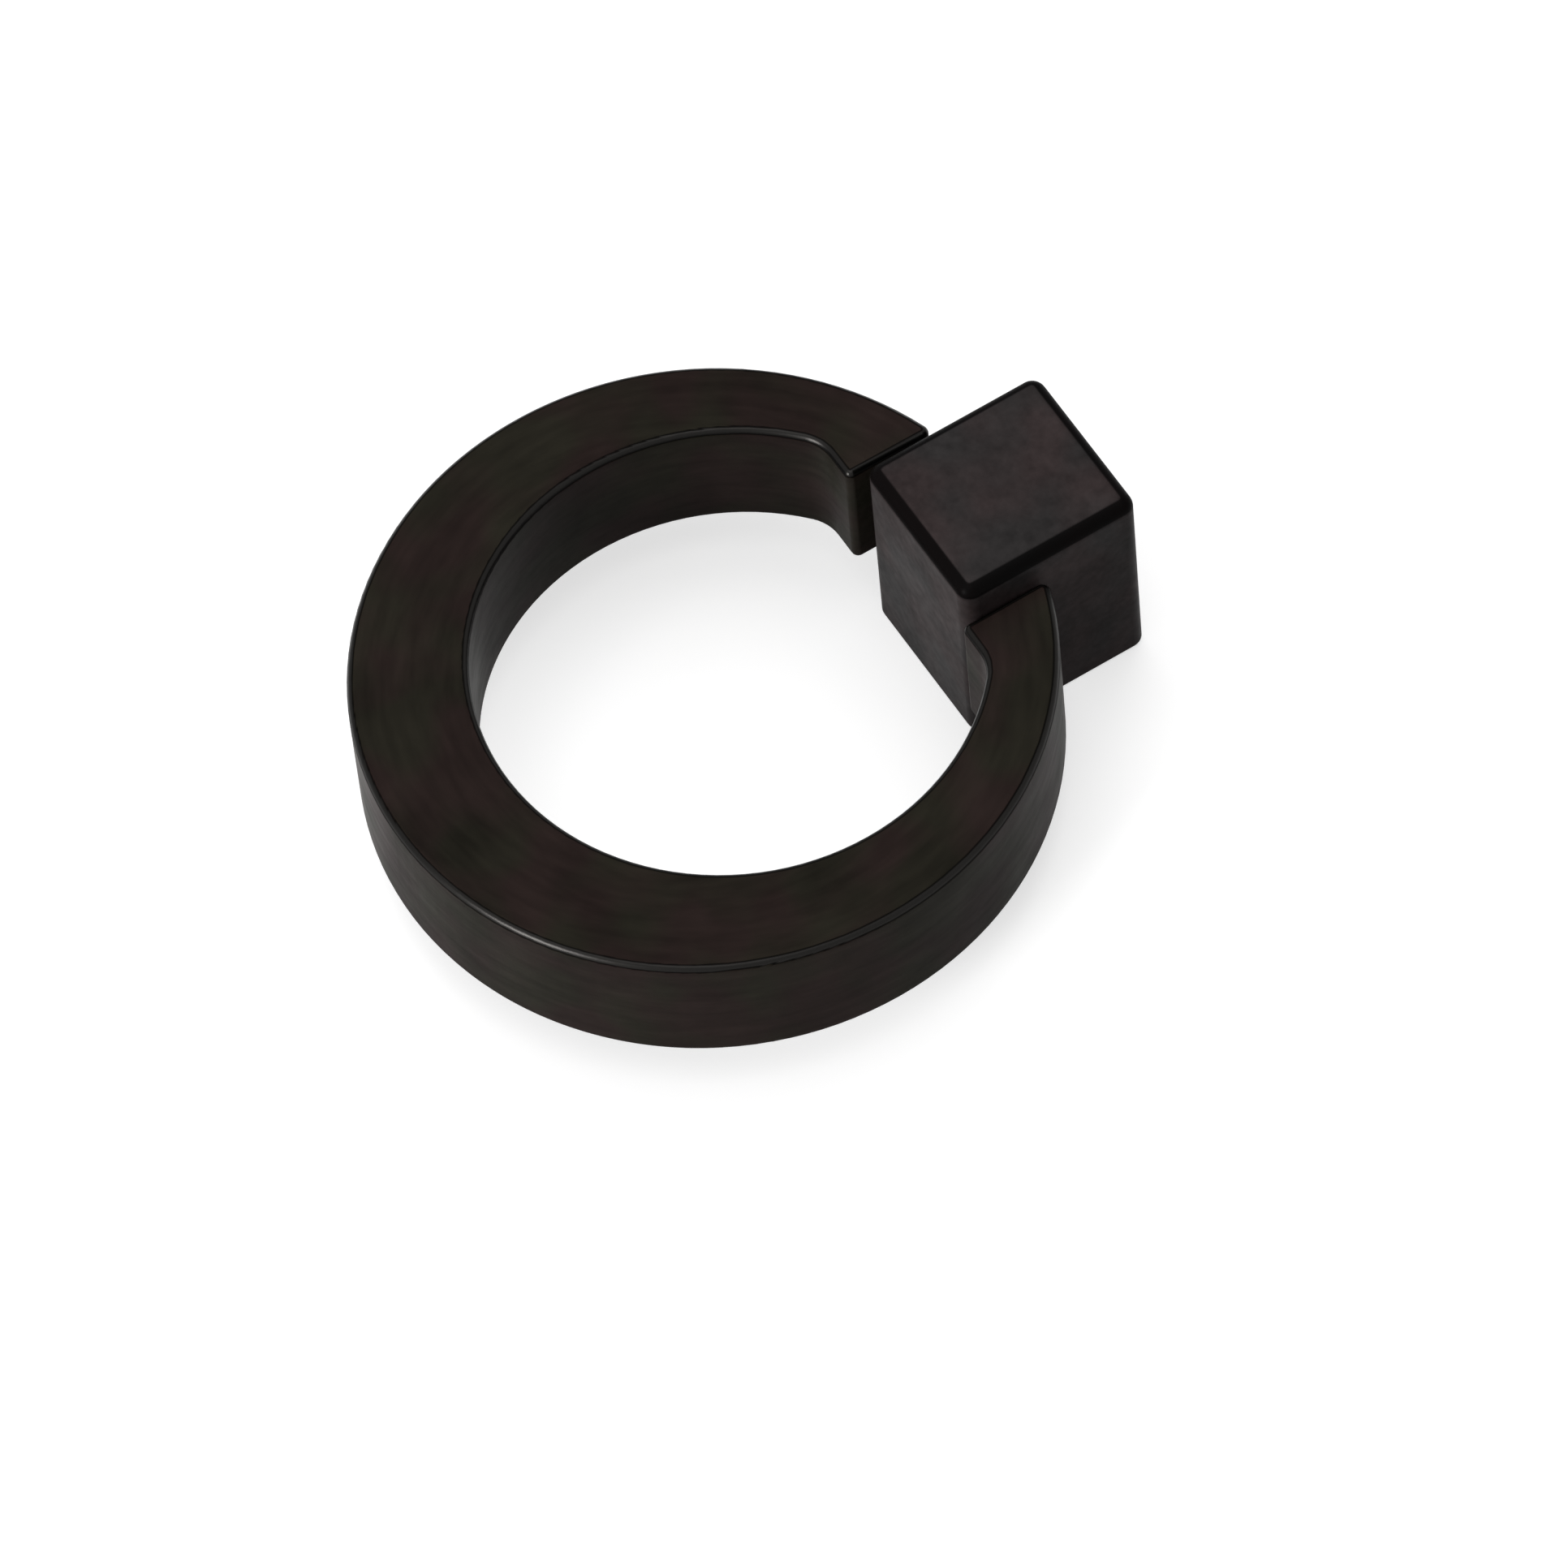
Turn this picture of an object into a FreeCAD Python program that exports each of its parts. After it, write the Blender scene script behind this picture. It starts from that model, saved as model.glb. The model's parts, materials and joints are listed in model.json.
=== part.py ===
import FreeCAD, Part
import math
import os

# Ring pull handle for a drawer front or a cabinet door, in millimetres.
#
# A cast block stands on the drawer front, held by one M4 screw from behind it.
# A flat, eccentric ring has a gap at its thin side, and the gap straddles the block.
# A steel pin through the block carries both ends of the ring, so the ring lifts
# outwards for a finger and drops back.
#
# Frame: the origin is the mouth of the screw's hole, at the middle of the block's
# back. +Z points out of the drawer front, and the ring hangs from the block along -Y.

# Ring
RING_DIAMETER = 45.0
RING_THICKNESS = 9.9
WIDE_BAND = 8.0              # from the rim to the finger hole, at the side away from the block
NARROW_BAND = 4.2            # the same at the block, to where the hole's full round would lie
FLAT_DEPTH = 7.5             # the same at the block, to the hole's flat side
HOLE_CORNER_ROUND = 3.0      # where the flat side runs into the round of the hole, or less in a small hole
RING_EDGE_ROUND = 0.55       # along all rims, and the ends' outer corners
RING_END_ROUND = 0.5         # on the ends' inner corners, in the finger hole
FLAT_LEFT = 0.2              # the least length of the flat side between those two rounds
RING_END_REACH = 0.5         # how far the ends reach past the block, into the finger hole
RING_STANDOFF = 4.0          # from the drawer front to the ring's back
RING_SIDE_SHIFT = 0.55       # the ring lies this far towards -X, within its end play

# Block
BLOCK_WIDTH = 12.0
BLOCK_LENGTH = 13.0
BLOCK_PROUD = 2.5            # how far its front stands above the ring's
BLOCK_EDGE_ROUND = 1.0       # along its upright and front edges
BLOCK_BACK_ROUND = 0.3       # along its back edges

# Pivot
PIN_DIAMETER = 2.5
PIN_CHAMFER = 0.3
PIN_END_WALL = 1.45          # ring material between the pin's blind end and the rim
PIN_RECESS = 0.3             # how far its other end lies below the rim
PIN_WALL = 1.95              # ring material between the pin and the hole's flat side
RUNNING_CLEARANCE = 0.05     # radial, between the pin and the block's bore
END_CLEARANCE = 0.7          # between each end of the ring and the block, if centred

# Screw hole
SCREW_DIAMETER = 4.0         # M4, the thread's outer diameter
SCREW_WEB = 0.9              # block material between the hole's wall and the pin's bore
DRILL_POINT_ANGLE = 118.0

# Heights above the drawer front
ring_back = RING_STANDOFF
ring_front = ring_back + RING_THICKNESS
ring_middle = (ring_back + ring_front) / 2
block_height = ring_front + BLOCK_PROUD

# Places in plan
ring_radius = RING_DIAMETER / 2
hole_radius = ring_radius - (WIDE_BAND + NARROW_BAND) / 2
block_inner = -BLOCK_LENGTH / 2
flat_side = block_inner - RING_END_REACH
ring_centre = flat_side + FLAT_DEPTH - ring_radius
hole_centre = ring_centre + (WIDE_BAND - NARROW_BAND) / 2
ring_end = BLOCK_WIDTH / 2 + END_CLEARANCE

# The hole's corner rounds start beyond the rounds on the ring's ends
flat_offset = flat_side - hole_centre
corner_start = ring_end + RING_END_ROUND + FLAT_LEFT
corner_room = ((hole_radius ** 2 - flat_offset ** 2 - corner_start ** 2)
               / (2 * (hole_radius - flat_offset)))
hole_corner_round = min(HOLE_CORNER_ROUND, corner_room)

# The pin's axis runs along X, through the block and the middle of the ring's thickness
pin_radius = PIN_DIAMETER / 2
bore_radius = pin_radius + RUNNING_CLEARANCE
pivot_y = flat_side + PIN_WALL + pin_radius
pivot_z = ring_middle
rim_at_pin = math.sqrt(ring_radius ** 2 - (pivot_y + pin_radius - ring_centre) ** 2)
pin_closed_end = rim_at_pin - PIN_END_WALL
pin_open_end = -(rim_at_pin - PIN_RECESS)

screw_radius = SCREW_DIAMETER / 2
screw_wall = pivot_z - bore_radius - SCREW_WEB
drill_point = screw_radius / math.tan(math.radians(DRILL_POINT_ANGLE / 2))

TOLERANCE = 1e-4             # when an edge is told by its place
ALONG_X = FreeCAD.Vector(1, 0, 0)
RING_PLAY = FreeCAD.Vector(-RING_SIDE_SHIFT, 0, 0)


def prism(x0, x1, y0, y1, z0, z1):
    """A rectangular solid between two corners."""
    return Part.makeBox(x1 - x0, y1 - y0, z1 - z0, FreeCAD.Vector(x0, y0, z0))


def rod_along_x(radius, x0, x1):
    """A round rod on the pin's axis."""
    return Part.makeCylinder(radius, x1 - x0, FreeCAD.Vector(x0, pivot_y, pivot_z), ALONG_X)


def upright_edges(shape):
    """The straight edges that run through the thickness."""
    found = []
    for edge in shape.Edges:
        if isinstance(edge.Curve, Part.Line) and abs(edge.tangentAt(edge.FirstParameter).z) > 0.999:
            found.append(edge)
    return found


def edges_at_height(shape, height):
    """The edges that lie in one level plane."""
    return [edge for edge in shape.Edges
            if abs(edge.BoundBox.ZMin - height) < TOLERANCE
            and abs(edge.BoundBox.ZMax - height) < TOLERANCE]


def finger_hole():
    """The ring's hole: a round with one flat side, beside the block's inner face."""
    centre = FreeCAD.Vector(0, hole_centre, ring_back)
    round_hole = Part.makeCylinder(hole_radius, RING_THICKNESS, centre)
    kept_side = prism(-RING_DIAMETER, RING_DIAMETER, ring_centre - RING_DIAMETER, flat_side,
                      ring_back, ring_front)
    hole = round_hole.common(kept_side)
    corners = [edge for edge in upright_edges(hole)
               if abs(edge.Vertexes[0].Point.y - flat_side) < TOLERANCE]
    return hole.makeFillet(hole_corner_round, corners)


def end_corners(ring, beside_hole):
    """The upright edges of the ring's two ends, beside the hole or at the rim."""
    return [edge for edge in upright_edges(ring)
            if abs(abs(edge.Vertexes[0].Point.x) - ring_end) < TOLERANCE
            and (edge.Vertexes[0].Point.y < pivot_y) == beside_hole]


def make_pull_ring():
    """The cast ring, one piece, with its two ends bored for the pin."""
    disc = Part.makeCylinder(ring_radius, RING_THICKNESS, FreeCAD.Vector(0, ring_centre, ring_back))
    gap = prism(-ring_end, ring_end, hole_centre, ring_centre + RING_DIAMETER,
                ring_back, ring_front)
    ring = disc.cut(finger_hole()).cut(gap)

    ring = ring.makeFillet(RING_END_ROUND, end_corners(ring, True))
    ring = ring.makeFillet(RING_EDGE_ROUND, end_corners(ring, False))
    rims = edges_at_height(ring, ring_back) + edges_at_height(ring, ring_front)
    ring = ring.makeFillet(RING_EDGE_ROUND, rims)

    # The pin is driven in through one end's rim and stops in the other end
    pin_hole = rod_along_x(pin_radius, -RING_DIAMETER, pin_closed_end)
    return ring.cut(pin_hole).translated(RING_PLAY)


def make_mount_block():
    """The cast block, with the pin's bore across it and the screw's hole in its back."""
    block = prism(-BLOCK_WIDTH / 2, BLOCK_WIDTH / 2, block_inner, BLOCK_LENGTH / 2,
                  0, block_height)
    block = block.makeFillet(BLOCK_EDGE_ROUND, upright_edges(block))
    block = block.makeFillet(BLOCK_EDGE_ROUND, edges_at_height(block, block_height))
    block = block.makeFillet(BLOCK_BACK_ROUND, edges_at_height(block, 0))
    screw_hole = Part.makeCylinder(screw_radius, screw_wall)
    screw_tip = Part.makeCone(screw_radius, 0, drill_point, FreeCAD.Vector(0, 0, screw_wall))
    bore = rod_along_x(bore_radius, -BLOCK_WIDTH, BLOCK_WIDTH)
    return block.cut(screw_hole.fuse(screw_tip)).cut(bore)


def make_pivot_pin():
    """The steel pin, chamfered at both ends and tight in the ring."""
    pin = rod_along_x(pin_radius, pin_open_end, pin_closed_end)
    rims = [edge for edge in pin.Edges if isinstance(edge.Curve, Part.Circle)]
    return pin.makeChamfer(PIN_CHAMFER, rims).translated(RING_PLAY)


PIECES = {
    "mount_block": make_mount_block,
    "pull_ring": make_pull_ring,
    "pivot_pin": make_pivot_pin,
}

os.makedirs("parts", exist_ok=True)
for name, make in PIECES.items():
    solid = make()
    if not solid.isValid() or len(solid.Solids) != 1:
        raise RuntimeError(name + " isn't one valid solid")
    solid.Solids[0].exportStep("parts/" + name + ".step")
    print(name, "volume", round(solid.Volume, 1), "mm3")

# How far the ring drops before its back edge meets the drawer front
reach = ring_radius + pivot_y - ring_centre
back_edge = math.hypot(reach, RING_THICKNESS / 2)
drop = math.asin(pivot_z / back_edge) - math.atan2(RING_THICKNESS / 2, reach)
print("pivot y", round(pivot_y, 3), "z", round(pivot_z, 3), "drop", round(math.degrees(drop), 2))
print("screw hole wall", round(screw_wall, 3), "pin from", round(pin_open_end, 3),
      "to", round(pin_closed_end, 3))
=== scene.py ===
"""Looks of a drop-ring pull handle, laid out as an add-on and run as a script.

The block and the pin are the solids of the frame, and get their finishes here. The ring is a
copy of its solid with smoother rounds. The thread in the block's screw hole is a piece of its
own, because the solid has a plain hole.
"""

import json
import math

import bmesh
import bpy
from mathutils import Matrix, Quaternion, Vector
from mathutils.kdtree import KDTree


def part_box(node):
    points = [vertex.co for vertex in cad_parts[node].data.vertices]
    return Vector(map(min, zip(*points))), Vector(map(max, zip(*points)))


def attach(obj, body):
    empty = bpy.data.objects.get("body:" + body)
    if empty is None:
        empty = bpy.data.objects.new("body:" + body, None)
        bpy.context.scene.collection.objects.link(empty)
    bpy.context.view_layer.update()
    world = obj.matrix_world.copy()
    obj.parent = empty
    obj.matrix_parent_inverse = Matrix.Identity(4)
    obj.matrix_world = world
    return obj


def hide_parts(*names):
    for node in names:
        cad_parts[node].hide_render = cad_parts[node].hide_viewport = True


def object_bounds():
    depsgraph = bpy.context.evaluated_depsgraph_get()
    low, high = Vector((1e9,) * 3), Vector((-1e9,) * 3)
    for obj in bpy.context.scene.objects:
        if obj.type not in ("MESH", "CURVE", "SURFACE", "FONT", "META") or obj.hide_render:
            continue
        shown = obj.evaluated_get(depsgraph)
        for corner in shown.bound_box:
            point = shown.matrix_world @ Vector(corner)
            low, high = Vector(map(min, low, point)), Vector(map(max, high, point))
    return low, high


bl_info = {
    "name": "Ring Pull Handle",
    "version": (1, 0, 0),
    "blender": (4, 5, 0),
    "location": "3D View > Sidebar > Ring Pull",
    "description": "Finishes, screw thread and studio of a drop-ring pull handle",
    "category": "Object",
}

MM = 0.001

# Where painted shade darkens the front edges, and where they are burnished, on the scale of
# front_edge_share
PAINTED_SHADE_FROM, PAINTED_SHADE_TO = 0.99, 0.92
BRIGHT_FROM, BRIGHT_TO = 0.93, 0.75

BARE_RIM = 0.03 * MM                 # how far the bare metal reaches past the screw hole's wall
NOISE_LOW, NOISE_HIGH = 0.3, 0.7     # most values of a noise lie between these
CAST_LOW, CAST_HIGH = 0.4, 0.6       # a narrower range, so that the two colours part clearly
GLOSS_SPREAD = 0.15                  # how far the paint's roughness strays, as a share of it
ROOM_DIM, ROOM_BRIGHT = 0.4, 0.95    # sines of the heights where the room's light rises
THREAD_STEPS = 64                    # points in one turn of the thread

# An ISO thread's ridge is this wide at its root and at its tip, as shares of the pitch
ROOT_SHARE, TIP_SHARE = 7 / 8, 1 / 4

# Name, azimuth and elevation in degrees, width in metres, and the setting that holds its power
LAMPS = (
    ("key_lamp", -117.0, 58.0, 0.8, "key_power"),
    ("fill_lamp", 20.0, 80.0, 0.8, "fill_power"),
    ("edge_lamp", 12.0, 18.0, 0.3, "edge_power"),
)

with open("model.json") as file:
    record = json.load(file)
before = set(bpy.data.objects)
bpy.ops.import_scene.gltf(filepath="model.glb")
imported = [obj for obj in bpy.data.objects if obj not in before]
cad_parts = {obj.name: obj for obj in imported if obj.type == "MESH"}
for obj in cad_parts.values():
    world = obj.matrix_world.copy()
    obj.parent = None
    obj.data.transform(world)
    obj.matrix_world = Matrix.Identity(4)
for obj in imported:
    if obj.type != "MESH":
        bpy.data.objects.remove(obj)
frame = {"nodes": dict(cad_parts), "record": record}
cad_low, cad_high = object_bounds()
ring_low, ring_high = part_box("pull_ring")
ring_middle = (ring_low + ring_high) / 2
ring_radius = (ring_high.x - ring_low.x) / 2
screw_hole = next(m for m in frame["record"]["mounts"] if m["name"] == "screw_hole")
hole_radius = screw_hole["dims"]["r_mm"] * MM
hole_length = screw_hole["dims"]["length_mm"] * MM


def linear(hex_colour):
    """An sRGB hex colour as the linear red, green and blue that shaders take."""
    shades = [int(hex_colour[i:i + 2], 16) / 255 for i in (1, 3, 5)]
    return [s / 12.92 if s <= 0.04045 else ((s + 0.055) / 1.055) ** 2.4 for s in shades]


def rgba(colour, share=1.0):
    """A share of a colour, with its alpha, as node sockets take it."""
    return (*(c * share for c in colour), 1.0)


def direction(azimuth, elevation):
    """The unit vector to a place in the room: azimuth 0 is -Y, and 90 degrees is +X."""
    return Vector((math.sin(azimuth) * math.cos(elevation),
                   -math.cos(azimuth) * math.cos(elevation),
                   math.sin(elevation)))


class PaintSettings(bpy.types.PropertyGroup):
    """The satin black paint on the castings."""

    ring_warm: bpy.props.FloatVectorProperty(
        name="Ring Warm", description="Colour of the ring's paint in its redder clouds",
        subtype="COLOR", min=0, max=1, default=linear("#221A18"))
    ring_cool: bpy.props.FloatVectorProperty(
        name="Ring Cool", description="Colour of the ring's paint in its olive clouds",
        subtype="COLOR", min=0, max=1, default=linear("#1F1D17"))
    block_warm: bpy.props.FloatVectorProperty(
        name="Block Warm", description="Colour of the block's paint in its redder clouds",
        subtype="COLOR", min=0, max=1, default=linear("#302929"))
    block_cool: bpy.props.FloatVectorProperty(
        name="Block Cool", description="Colour of the block's paint in its greyer clouds",
        subtype="COLOR", min=0, max=1, default=linear("#2A2828"))
    unevenness: bpy.props.FloatProperty(
        name="Unevenness", description="How far the colour strays from its middle value",
        subtype="FACTOR", min=0, max=1, default=0.38)
    cloud_width: bpy.props.FloatProperty(
        name="Cloud Width", description="Width of one cloud in the paint's colour",
        subtype="DISTANCE", unit="LENGTH", default=5.0 * MM)
    streak_width: bpy.props.FloatProperty(
        name="Streak Width", description="Width of one streak that the polishing left",
        subtype="DISTANCE", unit="LENGTH", default=0.7 * MM)
    streak_length: bpy.props.FloatProperty(
        name="Streak Length", description="Length of one streak that the polishing left",
        subtype="DISTANCE", unit="LENGTH", default=5.0 * MM)
    streak_share: bpy.props.FloatProperty(
        name="Streak Share", description="Strength of the streaks, against the clouds",
        subtype="FACTOR", min=0, max=1, default=0.45)
    roughness: bpy.props.FloatProperty(
        name="Roughness", description="How far the paint scatters a reflection",
        subtype="FACTOR", min=0, max=1, default=0.4)
    # Painted shade: the share of the colour that is kept on the rounds of the front edges
    painted_edge_shade: bpy.props.FloatProperty(
        name="Edge Shade", description="Share of the colour that is left along the front edges",
        subtype="FACTOR", min=0, max=1, default=0.12)
    edge_colour: bpy.props.FloatVectorProperty(
        name="Edge Colour",
        description="Colour of the ring's front edges, where the paint is burnished",
        subtype="COLOR", min=0, max=1, default=linear("#282726"))
    edge_roughness: bpy.props.FloatProperty(
        name="Edge Roughness", description="How far the burnished edges scatter a reflection",
        subtype="FACTOR", min=0, max=1, default=0.3)
    specular: bpy.props.FloatProperty(
        name="Specular", description="Strength of the paint's reflections",
        subtype="FACTOR", min=0, max=1, default=0.015)
    ripple_width: bpy.props.FloatProperty(
        name="Ripple Width", description="Width of one ripple of the sprayed coat",
        subtype="DISTANCE", unit="LENGTH", default=0.5 * MM)
    ripple_height: bpy.props.FloatProperty(
        name="Ripple Height", description="Height of the ripples of the sprayed coat",
        subtype="DISTANCE", unit="LENGTH", default=0.006 * MM)
    wave_width: bpy.props.FloatProperty(
        name="Wave Width", description="Width of the slow waves in the polished casting",
        subtype="DISTANCE", unit="LENGTH", default=7.0 * MM)
    wave_height: bpy.props.FloatProperty(
        name="Wave Height", description="Height of the slow waves in the polished casting",
        subtype="DISTANCE", unit="LENGTH", default=0.03 * MM)


class RingSettings(bpy.types.PropertyGroup):
    """How the copy of the ring's solid is smoothed."""

    merge_distance: bpy.props.FloatProperty(
        name="Merge Distance", description="Corners of triangles closer than this become one",
        subtype="DISTANCE", unit="LENGTH", default=0.001 * MM)
    round_reach: bpy.props.FloatProperty(
        name="Round Reach", description="How far the rounds reach from the front and back faces",
        subtype="DISTANCE", unit="LENGTH", default=0.6 * MM)


class MetalSettings(bpy.types.PropertyGroup):
    """The tapped zinc and the blackened steel."""

    zinc_colour: bpy.props.FloatVectorProperty(
        name="Zinc Colour", description="Colour of the tapped hole, which has no paint",
        subtype="COLOR", min=0, max=1, default=linear("#B9B8B4"))
    zinc_roughness: bpy.props.FloatProperty(
        name="Zinc Roughness", description="How far the tapped hole scatters a reflection",
        subtype="FACTOR", min=0, max=1, default=0.35)
    mark_width: bpy.props.FloatProperty(
        name="Mark Width", description="Width of one mark that the tap left",
        subtype="DISTANCE", unit="LENGTH", default=0.08 * MM)
    pin_colour: bpy.props.FloatVectorProperty(
        name="Pin Colour", description="Colour of the blackened steel pin",
        subtype="COLOR", min=0, max=1, default=linear("#4A4A4E"))
    pin_roughness: bpy.props.FloatProperty(
        name="Pin Roughness", description="How far the pin scatters a reflection",
        subtype="FACTOR", min=0, max=1, default=0.32)
    line_spacing: bpy.props.FloatProperty(
        name="Line Spacing", description="Distance between the grinding lines round the pin",
        subtype="DISTANCE", unit="LENGTH", default=0.12 * MM)
    line_length: bpy.props.FloatProperty(
        name="Line Length", description="Length of one grinding line",
        subtype="DISTANCE", unit="LENGTH", default=25.0 * MM)
    line_height: bpy.props.FloatProperty(
        name="Line Height", description="Height of the grinding lines",
        subtype="DISTANCE", unit="LENGTH", default=0.002 * MM)


class ThreadSettings(bpy.types.PropertyGroup):
    """The thread in the block's screw hole, M4 by default."""

    pitch: bpy.props.FloatProperty(
        name="Pitch", description="Distance between two turns of the thread",
        subtype="DISTANCE", unit="LENGTH", default=0.7 * MM)
    crest_radius: bpy.props.FloatProperty(
        name="Crest Radius", description="Radius to the tip of the thread's ridge",
        subtype="DISTANCE", unit="LENGTH", default=1.65 * MM)
    root_sink: bpy.props.FloatProperty(
        name="Root Sink", description="How far the ridge's root lies inside the block's metal",
        subtype="DISTANCE", unit="LENGTH", default=0.04 * MM)
    mouth_gap: bpy.props.FloatProperty(
        name="Mouth Gap", description="Plain stretch of the hole before the first turn",
        subtype="DISTANCE", unit="LENGTH", default=0.45 * MM)
    end_gap: bpy.props.FloatProperty(
        name="End Gap", description="Plain stretch of the hole after the last turn",
        subtype="DISTANCE", unit="LENGTH", default=0.6 * MM)


class StudioSettings(bpy.types.PropertyGroup):
    """The floor, the lights and the camera."""

    floor_colour: bpy.props.FloatVectorProperty(
        name="Floor Colour", description="Colour of the plain floor",
        subtype="COLOR", min=0, max=1, default=linear("#C8C8C8"))
    floor_size: bpy.props.FloatProperty(
        name="Floor Size", description="Length of each side of the floor",
        subtype="DISTANCE", unit="LENGTH", default=12.0)
    floor_lift: bpy.props.FloatProperty(
        name="Floor Lift",
        description="Light that is added where the floor is seen, not where it lights",
        min=0, default=0.62)
    horizon_light: bpy.props.FloatProperty(
        name="Horizon Light", description="Strength of the room's light near the floor",
        min=0, default=0.05)
    ceiling_light: bpy.props.FloatProperty(
        name="Ceiling Light", description="Strength of the room's light from above",
        min=0, default=0.6)
    key_power: bpy.props.FloatProperty(
        name="Key Power", description="Power of the large lamp that the front mirrors",
        subtype="POWER", unit="POWER", min=0, default=3.5)
    fill_power: bpy.props.FloatProperty(
        name="Fill Power", description="Power of the wide lamp above the handle",
        subtype="POWER", unit="POWER", min=0, default=2.8)
    edge_power: bpy.props.FloatProperty(
        name="Edge Power", description="Power of the low lamp that shines along the rounded edges",
        subtype="POWER", unit="POWER", min=0, default=6.5)
    lamp_distance: bpy.props.FloatProperty(
        name="Lamp Distance", description="Distance from the handle to each lamp",
        subtype="DISTANCE", unit="LENGTH", default=0.9)
    camera_target: bpy.props.FloatVectorProperty(
        name="Camera Target", description="The point that the camera looks at",
        subtype="XYZ", unit="LENGTH",
        default=(7.13 * MM, -21.08 * MM, ring_middle.z))
    camera_azimuth: bpy.props.FloatProperty(
        name="Camera Azimuth", description="Turn of the camera about the upright axis",
        subtype="ANGLE", unit="ROTATION", default=math.radians(63.29))
    camera_elevation: bpy.props.FloatProperty(
        name="Camera Elevation", description="Height of the camera above the floor, as an angle",
        subtype="ANGLE", unit="ROTATION", default=math.radians(58.066))
    camera_roll: bpy.props.FloatProperty(
        name="Camera Roll", description="Turn of the camera about its line of sight",
        subtype="ANGLE", unit="ROTATION", default=math.radians(-6.175))
    camera_distance: bpy.props.FloatProperty(
        name="Camera Distance", description="Distance from the camera to its target",
        subtype="DISTANCE", unit="LENGTH", default=0.8966)
    camera_lens: bpy.props.FloatProperty(
        name="Camera Lens", description="Focal length in millimetres, for a 36 mm wide frame",
        min=1, default=327.03)


def add_node(tree, kind, inputs=None, **settings):
    """Adds a node with its settings, and sets or links each input that is given."""
    node = tree.nodes.new(kind)
    for name, value in settings.items():
        setattr(node, name, value)
    for name, value in (inputs or {}).items():
        if isinstance(value, bpy.types.NodeSocket):
            tree.links.new(value, node.inputs[name])
        else:
            node.inputs[name].default_value = value
    return node


def new_material(name):
    """A material whose node tree is empty."""
    material = bpy.data.materials.new(name)
    material.use_nodes = True
    material.node_tree.nodes.clear()
    return material


def dress(piece, material):
    """Gives one piece its material."""
    piece.data.materials.clear()
    piece.data.materials.append(material)


def sprayed_surface(tree, place, paint):
    """Ripples of a sprayed coat over the slow waves of a polished casting, as a normal."""
    waves = add_node(tree, "ShaderNodeTexNoise", {
        "Vector": place, "Scale": 1 / paint.wave_width, "Detail": 1.0})
    casting = add_node(tree, "ShaderNodeBump", {
        "Height": waves.outputs["Fac"], "Distance": paint.wave_height})
    ripples = add_node(tree, "ShaderNodeTexNoise", {
        "Vector": place, "Scale": 1 / paint.ripple_width, "Detail": 2.0, "Roughness": 0.4})
    coat = add_node(tree, "ShaderNodeBump", {
        "Height": ripples.outputs["Fac"], "Distance": paint.ripple_height,
        "Normal": casting.outputs["Normal"]})
    return coat.outputs["Normal"]


def streaks_along_band(tree, place, paint):
    """Coordinates in which one streak along the ring's band is one unit wide and long.

    The turn begins and ends in the gap at the block, so its seam lies on no surface.
    """
    offset = add_node(tree, "ShaderNodeVectorMath", {0: place, 1: ring_middle},
                      operation="SUBTRACT").outputs["Vector"]
    level = add_node(tree, "ShaderNodeVectorMath", {0: offset, 1: (-1, -1, 0)},
                     operation="MULTIPLY").outputs["Vector"]
    across = add_node(tree, "ShaderNodeVectorMath", {0: level}, operation="LENGTH").outputs["Value"]
    sides = add_node(tree, "ShaderNodeSeparateXYZ", {"Vector": level}).outputs
    turn = add_node(tree, "ShaderNodeMath", {0: sides["X"], 1: sides["Y"]},
                    operation="ARCTAN2").outputs["Value"]
    height = add_node(tree, "ShaderNodeSeparateXYZ", {"Vector": offset}).outputs["Z"]
    band = add_node(tree, "ShaderNodeCombineXYZ", {
        "X": across, "Y": turn, "Z": height}).outputs["Vector"]
    return add_node(tree, "ShaderNodeMapping", {
        "Vector": band,
        "Scale": (1 / paint.streak_width, ring_radius / paint.streak_length,
                  1 / paint.streak_width)}).outputs["Vector"]


def fine_patches(tree, place, paint):
    """Coordinates in which a streak's width is one unit every way, for a face without streaks."""
    return add_node(tree, "ShaderNodeMapping", {
        "Vector": place, "Scale": (1 / paint.streak_width,) * 3}).outputs["Vector"]


def blended(tree, share, low, high):
    """Two numbers or two colours, mixed by a share from 0 to 1."""
    kind = "RGBA" if isinstance(high, tuple) or getattr(high, "type", "") == "RGBA" else "FLOAT"
    return add_node(tree, "ShaderNodeMix", {"Factor": share, "A": low, "B": high},
                    data_type=kind).outputs["Result"]


def mottling(tree, place, fine_place, paint):
    """Clouds and finer marks, from 0 where the paint is dark to 1 where it is light."""
    clouds = add_node(tree, "ShaderNodeTexNoise", {
        "Vector": place, "Scale": 1 / paint.cloud_width, "Detail": 3.0}).outputs["Fac"]
    marks = add_node(tree, "ShaderNodeTexNoise", {
        "Vector": fine_place, "Scale": 1.0, "Detail": 3.0}).outputs["Fac"]
    both = blended(tree, paint.streak_share, clouds, marks)
    return add_node(tree, "ShaderNodeMapRange", {
        "Value": both, "From Min": NOISE_LOW, "From Max": NOISE_HIGH}).outputs["Result"]


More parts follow.
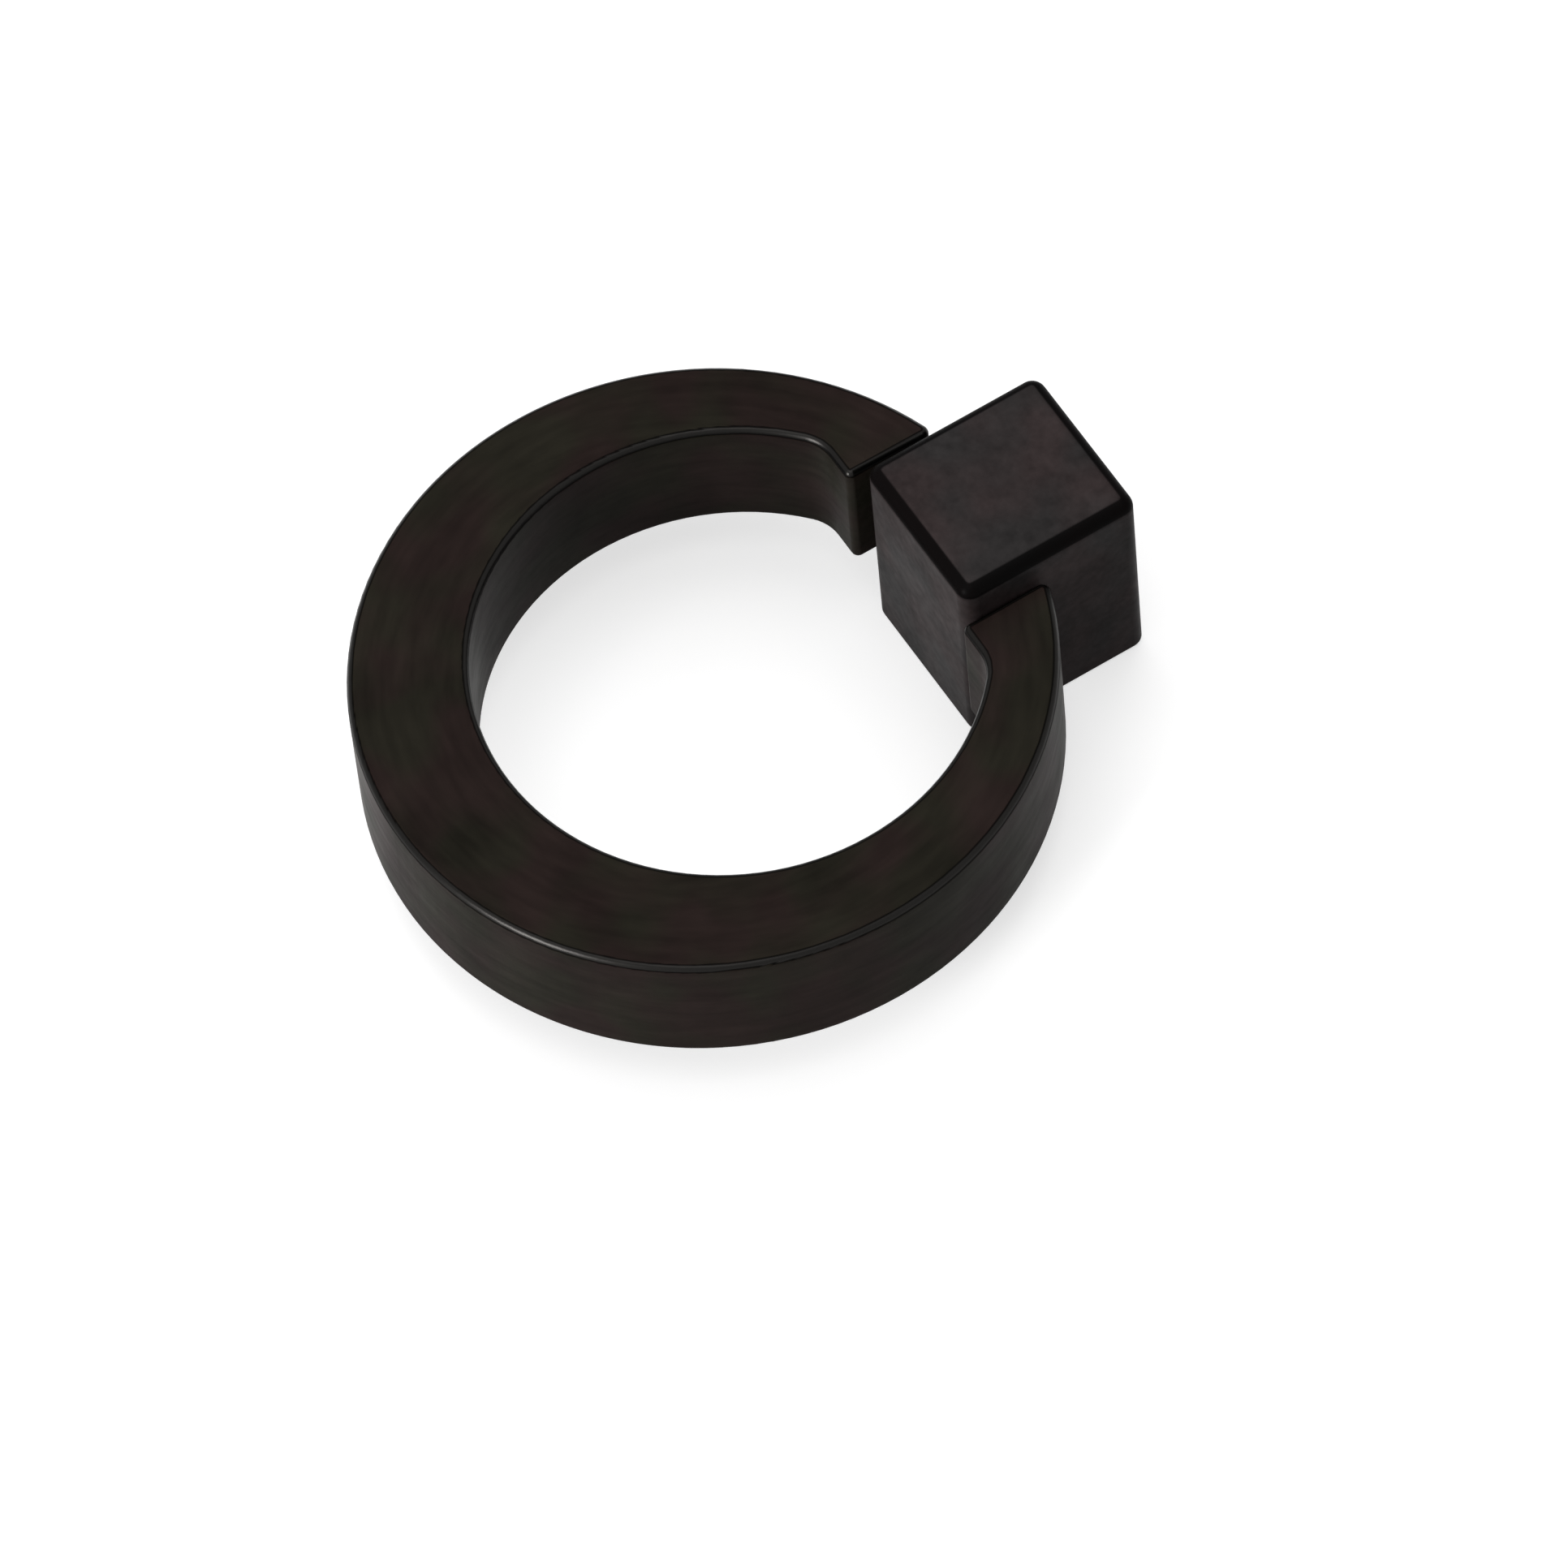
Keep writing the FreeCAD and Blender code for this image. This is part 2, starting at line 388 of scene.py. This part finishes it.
def front_edge_share(tree, outer, inner):
    """1 along the rounds of the front edges and 0 on the faces, told by the way that they point.

    The larger of the way's level and upright parts, squared, is 1 on a face and 0.5 in the
    middle of a round. The share rises from 0 where that is outer to 1 where it is inner.
    """
    way = add_node(tree, "ShaderNodeTexCoord").outputs["Normal"]
    squares = add_node(tree, "ShaderNodeVectorMath", {0: way, 1: way}, operation="MULTIPLY")
    parts = add_node(tree, "ShaderNodeSeparateXYZ", {"Vector": squares.outputs["Vector"]}).outputs
    level = add_node(tree, "ShaderNodeMath", {0: parts["X"], 1: parts["Y"]}, operation="ADD")
    most = add_node(tree, "ShaderNodeMath", {0: level.outputs["Value"], 1: parts["Z"]},
                    operation="MAXIMUM").outputs["Value"]
    rounds = add_node(tree, "ShaderNodeMapRange", {
        "Value": most, "From Min": outer, "From Max": inner},
        interpolation_type="SMOOTHSTEP").outputs["Result"]
    height = add_node(tree, "ShaderNodeSeparateXYZ", {"Vector": way}).outputs["Z"]
    front = add_node(tree, "ShaderNodeMath", {0: height, 1: 0.0}, operation="GREATER_THAN")
    return add_node(tree, "ShaderNodeMath", {0: rounds, 1: front.outputs["Value"]},
                    operation="MULTIPLY").outputs["Value"]


def screw_hole_share(tree, place):
    """1 on the wall of the screw's hole, which the tap left bare, and 0 elsewhere."""
    level = add_node(tree, "ShaderNodeVectorMath", {0: place, 1: (1, 1, 0)},
                     operation="MULTIPLY").outputs["Vector"]
    reach = add_node(tree, "ShaderNodeVectorMath", {0: level}, operation="LENGTH").outputs["Value"]
    inside = add_node(tree, "ShaderNodeMath", {0: reach, 1: hole_radius + BARE_RIM},
                      operation="LESS_THAN").outputs["Value"]
    height = add_node(tree, "ShaderNodeSeparateXYZ", {"Vector": place}).outputs["Z"]
    low = add_node(tree, "ShaderNodeMath", {0: height, 1: hole_length + hole_radius},
                   operation="LESS_THAN").outputs["Value"]
    return add_node(tree, "ShaderNodeMath", {0: inside, 1: low},
                    operation="MULTIPLY").outputs["Value"]


def satin_coat(tree, place, fine_place, warm, cool, paint):
    """The colour and the roughness of the paint: mottled, with painted shade along the front edges.
    """
    mottle = mottling(tree, place, fine_place, paint)
    # A fourth dimension keeps this noise apart from the clouds
    casts = add_node(tree, "ShaderNodeTexNoise", {
        "Vector": place, "Scale": 1 / paint.cloud_width, "Detail": 1.0}, noise_dimensions="4D")
    cast = add_node(tree, "ShaderNodeMapRange", {
        "Value": casts.outputs["Fac"], "From Min": CAST_LOW, "From Max": CAST_HIGH})
    tone = blended(tree, cast.outputs["Result"], rgba(warm), rgba(cool))
    light = add_node(tree, "ShaderNodeMapRange", {
        "Value": mottle, "To Min": 1 - paint.unevenness, "To Max": 1 + paint.unevenness})
    # Painted shade: the colour is darkened on the rounds of the front edges, where they would
    # mirror a dark room
    edges = front_edge_share(tree, PAINTED_SHADE_FROM, PAINTED_SHADE_TO)
    light = blended(tree, edges, light.outputs["Result"], paint.painted_edge_shade)
    shade = add_node(tree, "ShaderNodeVectorMath", {0: tone, "Scale": light}, operation="SCALE")
    gloss = add_node(tree, "ShaderNodeMapRange", {
        "Value": mottle,
        "To Min": paint.roughness * (1 + GLOSS_SPREAD),
        "To Max": paint.roughness * (1 - GLOSS_SPREAD)})
    return shade.outputs["Vector"], gloss.outputs["Result"]


def ring_paint(paint):
    """Satin black paint, sprayed over polished die-cast zinc and baked.

    It gives the eye a warm near-black, mottled and faintly streaked along the band, with
    wide soft reflections. The middle of each front edge is burnished, and catches the light.
    """
    material = new_material("satin_black_ring")
    tree = material.node_tree
    place = add_node(tree, "ShaderNodeTexCoord").outputs["Object"]
    shade, gloss = satin_coat(tree, place, streaks_along_band(tree, place, paint),
                              paint.ring_warm, paint.ring_cool, paint)
    burnished = front_edge_share(tree, BRIGHT_FROM, BRIGHT_TO)
    shader = add_node(tree, "ShaderNodeBsdfPrincipled", {
        "Base Color": blended(tree, burnished, shade, rgba(paint.edge_colour)),
        "Metallic": burnished,
        "Roughness": blended(tree, burnished, gloss, paint.edge_roughness),
        "Specular IOR Level": paint.specular,
        "Normal": sprayed_surface(tree, place, paint)})
    add_node(tree, "ShaderNodeOutputMaterial", {"Surface": shader.outputs["BSDF"]})
    return material


def block_paint(paint, metal):
    """Satin black paint over polished die-cast zinc, as on the ring, with a bare screw hole.

    It gives the eye a near-black a shade lighter than the ring's, and in the hole a pale metal.
    """
    material = new_material("satin_black_block")
    tree = material.node_tree
    place = add_node(tree, "ShaderNodeTexCoord").outputs["Object"]
    shade, gloss = satin_coat(tree, place, fine_patches(tree, place, paint),
                              paint.block_warm, paint.block_cool, paint)
    bare = screw_hole_share(tree, place)
    shader = add_node(tree, "ShaderNodeBsdfPrincipled", {
        "Base Color": blended(tree, bare, shade, rgba(metal.zinc_colour)),
        "Metallic": bare,
        "Roughness": blended(tree, bare, gloss, metal.zinc_roughness),
        "Specular IOR Level": paint.specular,
        "Normal": sprayed_surface(tree, place, paint)})
    add_node(tree, "ShaderNodeOutputMaterial", {"Surface": shader.outputs["BSDF"]})
    return material


def tapped_zinc(metal):
    """Zinc alloy as the tap left it.

    It gives the eye a pale grey metal, brighter than the paint, with fine cutting marks.
    """
    material = new_material("tapped_zinc_alloy")
    tree = material.node_tree
    place = add_node(tree, "ShaderNodeTexCoord").outputs["Object"]
    marks = add_node(tree, "ShaderNodeTexNoise", {
        "Vector": place, "Scale": 1 / metal.mark_width, "Detail": 2.0})
    gloss = add_node(tree, "ShaderNodeMapRange", {
        "Value": marks.outputs["Fac"],
        "To Min": metal.zinc_roughness * 0.8,
        "To Max": metal.zinc_roughness * 1.4})
    shader = add_node(tree, "ShaderNodeBsdfPrincipled", {
        "Base Color": rgba(metal.zinc_colour),
        "Metallic": 1.0,
        "Roughness": gloss.outputs["Result"]})
    add_node(tree, "ShaderNodeOutputMaterial", {"Surface": shader.outputs["BSDF"]})
    return material


def blackened_steel(metal):
    """Ground steel rod with a black oxide finish.

    It gives the eye a dark metal with fine lines round it, from the grinding wheel.
    """
    material = new_material("blackened_steel")
    tree = material.node_tree
    place = add_node(tree, "ShaderNodeTexCoord").outputs["Object"]
    along = add_node(tree, "ShaderNodeMapping", {
        "Vector": place,
        "Scale": (1 / metal.line_spacing, 1 / metal.line_length, 1 / metal.line_length)})
    lines = add_node(tree, "ShaderNodeTexNoise", {
        "Vector": along.outputs["Vector"], "Scale": 1.0, "Detail": 2.0})
    gloss = add_node(tree, "ShaderNodeMapRange", {
        "Value": lines.outputs["Fac"],
        "To Min": metal.pin_roughness * 0.7,
        "To Max": metal.pin_roughness * 1.3})
    grinding = add_node(tree, "ShaderNodeBump", {
        "Height": lines.outputs["Fac"], "Distance": metal.line_height})
    shader = add_node(tree, "ShaderNodeBsdfPrincipled", {
        "Base Color": rgba(metal.pin_colour),
        "Metallic": 1.0,
        "Roughness": gloss.outputs["Result"],
        "Normal": grinding.outputs["Normal"]})
    add_node(tree, "ShaderNodeOutputMaterial", {"Surface": shader.outputs["BSDF"]})
    return material


def in_the_rounds(place, settings):
    """Whether a place is on the ring's front or back face, or in the rounds beside them."""
    return min(place.z - ring_low.z, ring_high.z - place.z) < settings.round_reach


def ring_normals(mesh, solid, settings):
    """The normal for each corner of a copy of the ring's mesh.

    In the rounds it is the mean of the faces that meet there, weighed by area, which keeps the
    flat faces flat. Elsewhere it is the solid's own, which keeps the pin's hole sharp.
    """
    means = [Vector() for vertex in mesh.vertices]
    for face in mesh.polygons:
        for vertex in face.vertices:
            means[vertex] += face.normal * face.area
    own = {corner.vertex_index: normal.vector.copy()
           for corner, normal in zip(solid.loops, solid.corner_normals)}
    places = KDTree(len(solid.vertices))
    for vertex in solid.vertices:
        places.insert(vertex.co, vertex.index)
    places.balance()
    normals = []
    for face in mesh.polygons:
        for vertex in face.vertices:
            place = mesh.vertices[vertex].co
            if in_the_rounds(place, settings):
                normals.append(means[vertex].normalized())
            else:
                found = places.find_range(place, 2 * settings.merge_distance)
                normals.append(max((own[index] for spot, index, gap in found),
                                   key=face.normal.dot))
    return normals


def smooth_ring(settings):
    """A copy of the ring's solid whose triangles follow its rounds.

    The solid's own triangles run askew in places, and show as teeth along the bright edges.
    """
    solid = frame["nodes"]["pull_ring"].data
    shape = bmesh.new()
    shape.from_mesh(solid)
    bmesh.ops.remove_doubles(shape, verts=shape.verts, dist=settings.merge_distance)
    bmesh.ops.beautify_fill(shape, faces=shape.faces, method="ANGLE", edges=[
        edge for edge in shape.edges
        if in_the_rounds(edge.verts[0].co, settings) and in_the_rounds(edge.verts[1].co, settings)
        and abs(edge.verts[0].co.z - edge.verts[1].co.z) < settings.round_reach])
    mesh = bpy.data.meshes.new("ring_casting")
    shape.to_mesh(mesh)
    shape.free()
    mesh.shade_smooth()
    mesh.normals_split_custom_set(ring_normals(mesh, solid, settings))

    ring = bpy.data.objects.new("ring_casting", mesh)
    bpy.context.scene.collection.objects.link(ring)
    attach(ring, "ring")
    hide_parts("pull_ring")


class HANDLE_OT_smooth_ring(bpy.types.Operator):
    """Make the ring's rounds smooth"""

    bl_idname = "handle.smooth_ring"
    bl_label = "Smooth Ring"

    def execute(self, context):
        smooth_ring(context.scene.handle_ring)
        return {"FINISHED"}


class HANDLE_OT_paint_castings(bpy.types.Operator):
    """Paint the ring and the block in satin black"""

    bl_idname = "handle.paint_castings"
    bl_label = "Paint Castings"

    def execute(self, context):
        paint = context.scene.handle_paint
        dress(bpy.data.objects["ring_casting"], ring_paint(paint))
        dress(frame["nodes"]["mount_block"], block_paint(paint, context.scene.handle_metal))
        return {"FINISHED"}


class HANDLE_OT_finish_pin(bpy.types.Operator):
    """Blacken the steel pin"""

    bl_idname = "handle.finish_pin"
    bl_label = "Finish Pin"

    def execute(self, context):
        dress(frame["nodes"]["pivot_pin"], blackened_steel(context.scene.handle_metal))
        return {"FINISHED"}


def thread_tree(material):
    """Geometry nodes that wind a ridge along a helix, up the inside of a round hole.

    The ridge's root lies a little way inside the metal, so that no gap shows.
    """
    tree = bpy.data.node_groups.new("ScrewThread", "GeometryNodeTree")
    tree.is_modifier = True
    tree.interface.new_socket("Thread", in_out="OUTPUT", socket_type="NodeSocketGeometry")
    for name in ("Start", "Length", "Pitch", "Root Radius", "Tip Radius", "Root Width",
                 "Tip Width"):
        tree.interface.new_socket(name, in_out="INPUT", socket_type="NodeSocketFloat")
    sizes = add_node(tree, "NodeGroupInput").outputs

    turns = add_node(tree, "ShaderNodeMath", {0: sizes["Length"], 1: sizes["Pitch"]},
                     operation="DIVIDE")
    both = add_node(tree, "ShaderNodeMath", {0: sizes["Root Radius"], 1: sizes["Tip Radius"]},
                    operation="ADD")
    middle = add_node(tree, "ShaderNodeMath", {0: both.outputs["Value"], 1: 0.5},
                      operation="MULTIPLY")
    depth = add_node(tree, "ShaderNodeMath", {0: sizes["Root Radius"], 1: sizes["Tip Radius"]},
                     operation="SUBTRACT")
    helix = add_node(tree, "GeometryNodeCurveSpiral", {
        "Resolution": THREAD_STEPS, "Rotations": turns.outputs["Value"],
        "Start Radius": middle.outputs["Value"], "End Radius": middle.outputs["Value"],
        "Height": sizes["Length"]})
    level = add_node(tree, "GeometryNodeSetCurveNormal", {"Curve": helix.outputs["Curve"]},
                     mode="Z_UP")
    ridge = add_node(tree, "GeometryNodeCurvePrimitiveQuadrilateral", {
        "Bottom Width": sizes["Root Width"], "Top Width": sizes["Tip Width"],
        "Height": depth.outputs["Value"], "Offset": 0.0}, mode="TRAPEZOID")
    inward = add_node(tree, "GeometryNodeTransform", {
        "Geometry": ridge.outputs["Curve"], "Rotation": (0.0, 0.0, math.pi / 2)})
    thread = add_node(tree, "GeometryNodeCurveToMesh", {
        "Curve": level.outputs["Curve"], "Profile Curve": inward.outputs["Geometry"],
        "Fill Caps": True})
    lift = add_node(tree, "ShaderNodeCombineXYZ", {"Z": sizes["Start"]})
    placed = add_node(tree, "GeometryNodeTransform", {
        "Geometry": thread.outputs["Mesh"], "Translation": lift.outputs["Vector"]})
    real = add_node(tree, "GeometryNodeRealizeInstances", {
        "Geometry": placed.outputs["Geometry"]})
    coloured = add_node(tree, "GeometryNodeSetMaterial", {
        "Geometry": real.outputs["Geometry"], "Material": material})
    add_node(tree, "NodeGroupOutput", {"Thread": coloured.outputs["Geometry"]})
    return tree


def baked(piece, tree, sizes):
    """The piece's mesh, once the node tree has made it with these sizes."""
    modifier = piece.modifiers.new("shape", "NODES")
    modifier.node_group = tree
    for item in tree.interface.items_tree:
        if item.name in sizes:
            modifier[item.identifier] = sizes[item.name]
    graph = bpy.context.evaluated_depsgraph_get()
    mesh = bpy.data.meshes.new_from_object(piece.evaluated_get(graph))
    piece.modifiers.remove(modifier)
    return mesh


class HANDLE_OT_cut_screw_thread(bpy.types.Operator):
    """Cut the thread in the block's screw hole"""

    bl_idname = "handle.cut_screw_thread"
    bl_label = "Cut Screw Thread"

    def execute(self, context):
        thread = context.scene.handle_thread
        piece = bpy.data.objects.new("screw_thread", bpy.data.meshes.new("screw_thread"))
        context.scene.collection.objects.link(piece)
        tree = thread_tree(tapped_zinc(context.scene.handle_metal))
        piece.data = baked(piece, tree, {
            "Start": thread.mouth_gap,
            "Length": hole_length - thread.mouth_gap - thread.end_gap,
            "Pitch": thread.pitch,
            "Root Radius": hole_radius + thread.root_sink,
            "Tip Radius": thread.crest_radius,
            "Root Width": thread.pitch * ROOT_SHARE,
            "Tip Width": thread.pitch * TIP_SHARE})
        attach(piece, "mount")
        return {"FINISHED"}


def seen_rays(tree):
    """1 for a ray that shows the room, straight, mirrored or through glass, and 0 for light."""
    rays = add_node(tree, "ShaderNodeLightPath").outputs
    seen = add_node(tree, "ShaderNodeMath", {0: rays["Is Camera Ray"], 1: rays["Is Glossy Ray"]},
                    operation="MAXIMUM")
    return add_node(tree, "ShaderNodeMath", {
        0: seen.outputs["Value"], 1: rays["Is Transmission Ray"]},
        operation="MAXIMUM").outputs["Value"]


def floor_material(studio):
    """Matt white studio board, a shade lighter where it is seen than where it lights."""
    material = new_material("matt_white_board")
    tree = material.node_tree
    lift = add_node(tree, "ShaderNodeMath", {0: seen_rays(tree), 1: studio.floor_lift},
                    operation="MULTIPLY")
    board = add_node(tree, "ShaderNodeBsdfDiffuse", {"Color": rgba(studio.floor_colour)})
    glow = add_node(tree, "ShaderNodeEmission", {"Strength": lift.outputs["Value"]})
    both = add_node(tree, "ShaderNodeAddShader", {
        0: board.outputs["BSDF"], 1: glow.outputs["Emission"]})
    add_node(tree, "ShaderNodeOutputMaterial", {"Surface": both.outputs["Shader"]})
    return material


def lay_floor(studio):
    """The floor, level with the block's back."""
    half = studio.floor_size / 2
    mesh = bpy.data.meshes.new("floor")
    mesh.from_pydata([(-half, -half, 0), (half, -half, 0), (half, half, 0), (-half, half, 0)],
                     [], [(0, 1, 2, 3)])
    mesh.materials.append(floor_material(studio))
    floor = bpy.data.objects.new("floor", mesh)
    bpy.context.scene.collection.objects.link(floor)


def light_room(studio):
    """The room's own light: bright from above, dim near the floor, white where it is seen."""
    world = bpy.data.worlds.new("studio_room")
    bpy.context.scene.world = world
    world.use_nodes = True
    tree = world.node_tree
    tree.nodes.clear()
    way = add_node(tree, "ShaderNodeTexCoord").outputs["Generated"]
    height = add_node(tree, "ShaderNodeSeparateXYZ", {"Vector": way}).outputs["Z"]
    glow = add_node(tree, "ShaderNodeMapRange", {
        "Value": height, "From Min": ROOM_DIM, "From Max": ROOM_BRIGHT,
        "To Min": studio.horizon_light, "To Max": studio.ceiling_light},
        interpolation_type="SMOOTHSTEP")
    light = add_node(tree, "ShaderNodeBackground", {
        "Strength": blended(tree, seen_rays(tree), glow.outputs["Result"], 1.0)})
    add_node(tree, "ShaderNodeOutputWorld", {"Surface": light.outputs["Background"]})


def hang_lamp(name, azimuth, elevation, width, power, distance):
    """A soft square lamp that shines at the middle of the handle."""
    away = direction(math.radians(azimuth), math.radians(elevation))
    lamp = bpy.data.lights.new(name, "AREA")
    lamp.size = width
    lamp.energy = power
    holder = bpy.data.objects.new(name, lamp)
    holder.location = (cad_low + cad_high) / 2 + away * distance
    holder.rotation_euler = away.to_track_quat("Z", "Y").to_euler()
    bpy.context.scene.collection.objects.link(holder)


def set_camera(studio):
    """The camera at the photograph's angle, for a square frame."""
    away = direction(studio.camera_azimuth, studio.camera_elevation)
    lens = bpy.data.cameras.new("camera")
    lens.sensor_width = 36.0
    lens.lens = studio.camera_lens
    lens.clip_start = 0.01
    lens.clip_end = 50.0
    camera = bpy.data.objects.new("camera", lens)
    camera.location = Vector(studio.camera_target) + away * studio.camera_distance
    turn = away.to_track_quat("Z", "Y") @ Quaternion((0, 0, 1), studio.camera_roll)
    camera.rotation_euler = turn.to_euler()
    bpy.context.scene.collection.objects.link(camera)
    bpy.context.scene.camera = camera


class HANDLE_OT_set_stage(bpy.types.Operator):
    """Lay the floor, hang the lamps and set the camera"""

    bl_idname = "handle.set_stage"
    bl_label = "Set Stage"

    def execute(self, context):
        studio = context.scene.handle_studio
        lay_floor(studio)
        light_room(studio)
        for name, azimuth, elevation, width, power in LAMPS:
            hang_lamp(name, azimuth, elevation, width, getattr(studio, power),
                      studio.lamp_distance)
        set_camera(studio)
        context.scene.view_settings.view_transform = "Standard"
        return {"FINISHED"}


class HANDLE_PT_looks(bpy.types.Panel):
    """The handle's steps and sizes in the 3D view's sidebar."""

    bl_idname = "HANDLE_PT_looks"
    bl_label = "Ring Pull"
    bl_space_type = "VIEW_3D"
    bl_region_type = "UI"
    bl_category = "Ring Pull"

    def draw(self, context):
        for step, settings in STEPS:
            box = self.layout.box()
            box.operator(step.bl_idname)
            group = getattr(context.scene, settings)
            for name in group.__annotations__:
                box.prop(group, name)


SETTINGS = {
    "handle_ring": RingSettings,
    "handle_paint": PaintSettings,
    "handle_metal": MetalSettings,
    "handle_thread": ThreadSettings,
    "handle_studio": StudioSettings,
}
STEPS = (
    (HANDLE_OT_smooth_ring, "handle_ring"),
    (HANDLE_OT_paint_castings, "handle_paint"),
    (HANDLE_OT_finish_pin, "handle_metal"),
    (HANDLE_OT_cut_screw_thread, "handle_thread"),
    (HANDLE_OT_set_stage, "handle_studio"),
)
CLASSES = (*SETTINGS.values(), *(step for step, settings in STEPS), HANDLE_PT_looks)


def register():
    for kind in CLASSES:
        bpy.utils.register_class(kind)
    for name, kind in SETTINGS.items():
        setattr(bpy.types.Scene, name, bpy.props.PointerProperty(type=kind))


def unregister():
    for name in SETTINGS:
        delattr(bpy.types.Scene, name)
    for kind in reversed(CLASSES):
        bpy.utils.unregister_class(kind)


def main():
    register()
    bpy.ops.handle.smooth_ring()
    bpy.ops.handle.paint_castings()
    bpy.ops.handle.finish_pin()
    bpy.ops.handle.cut_screw_thread()
    bpy.ops.handle.set_stage()


if __name__ == "__main__":
    main()
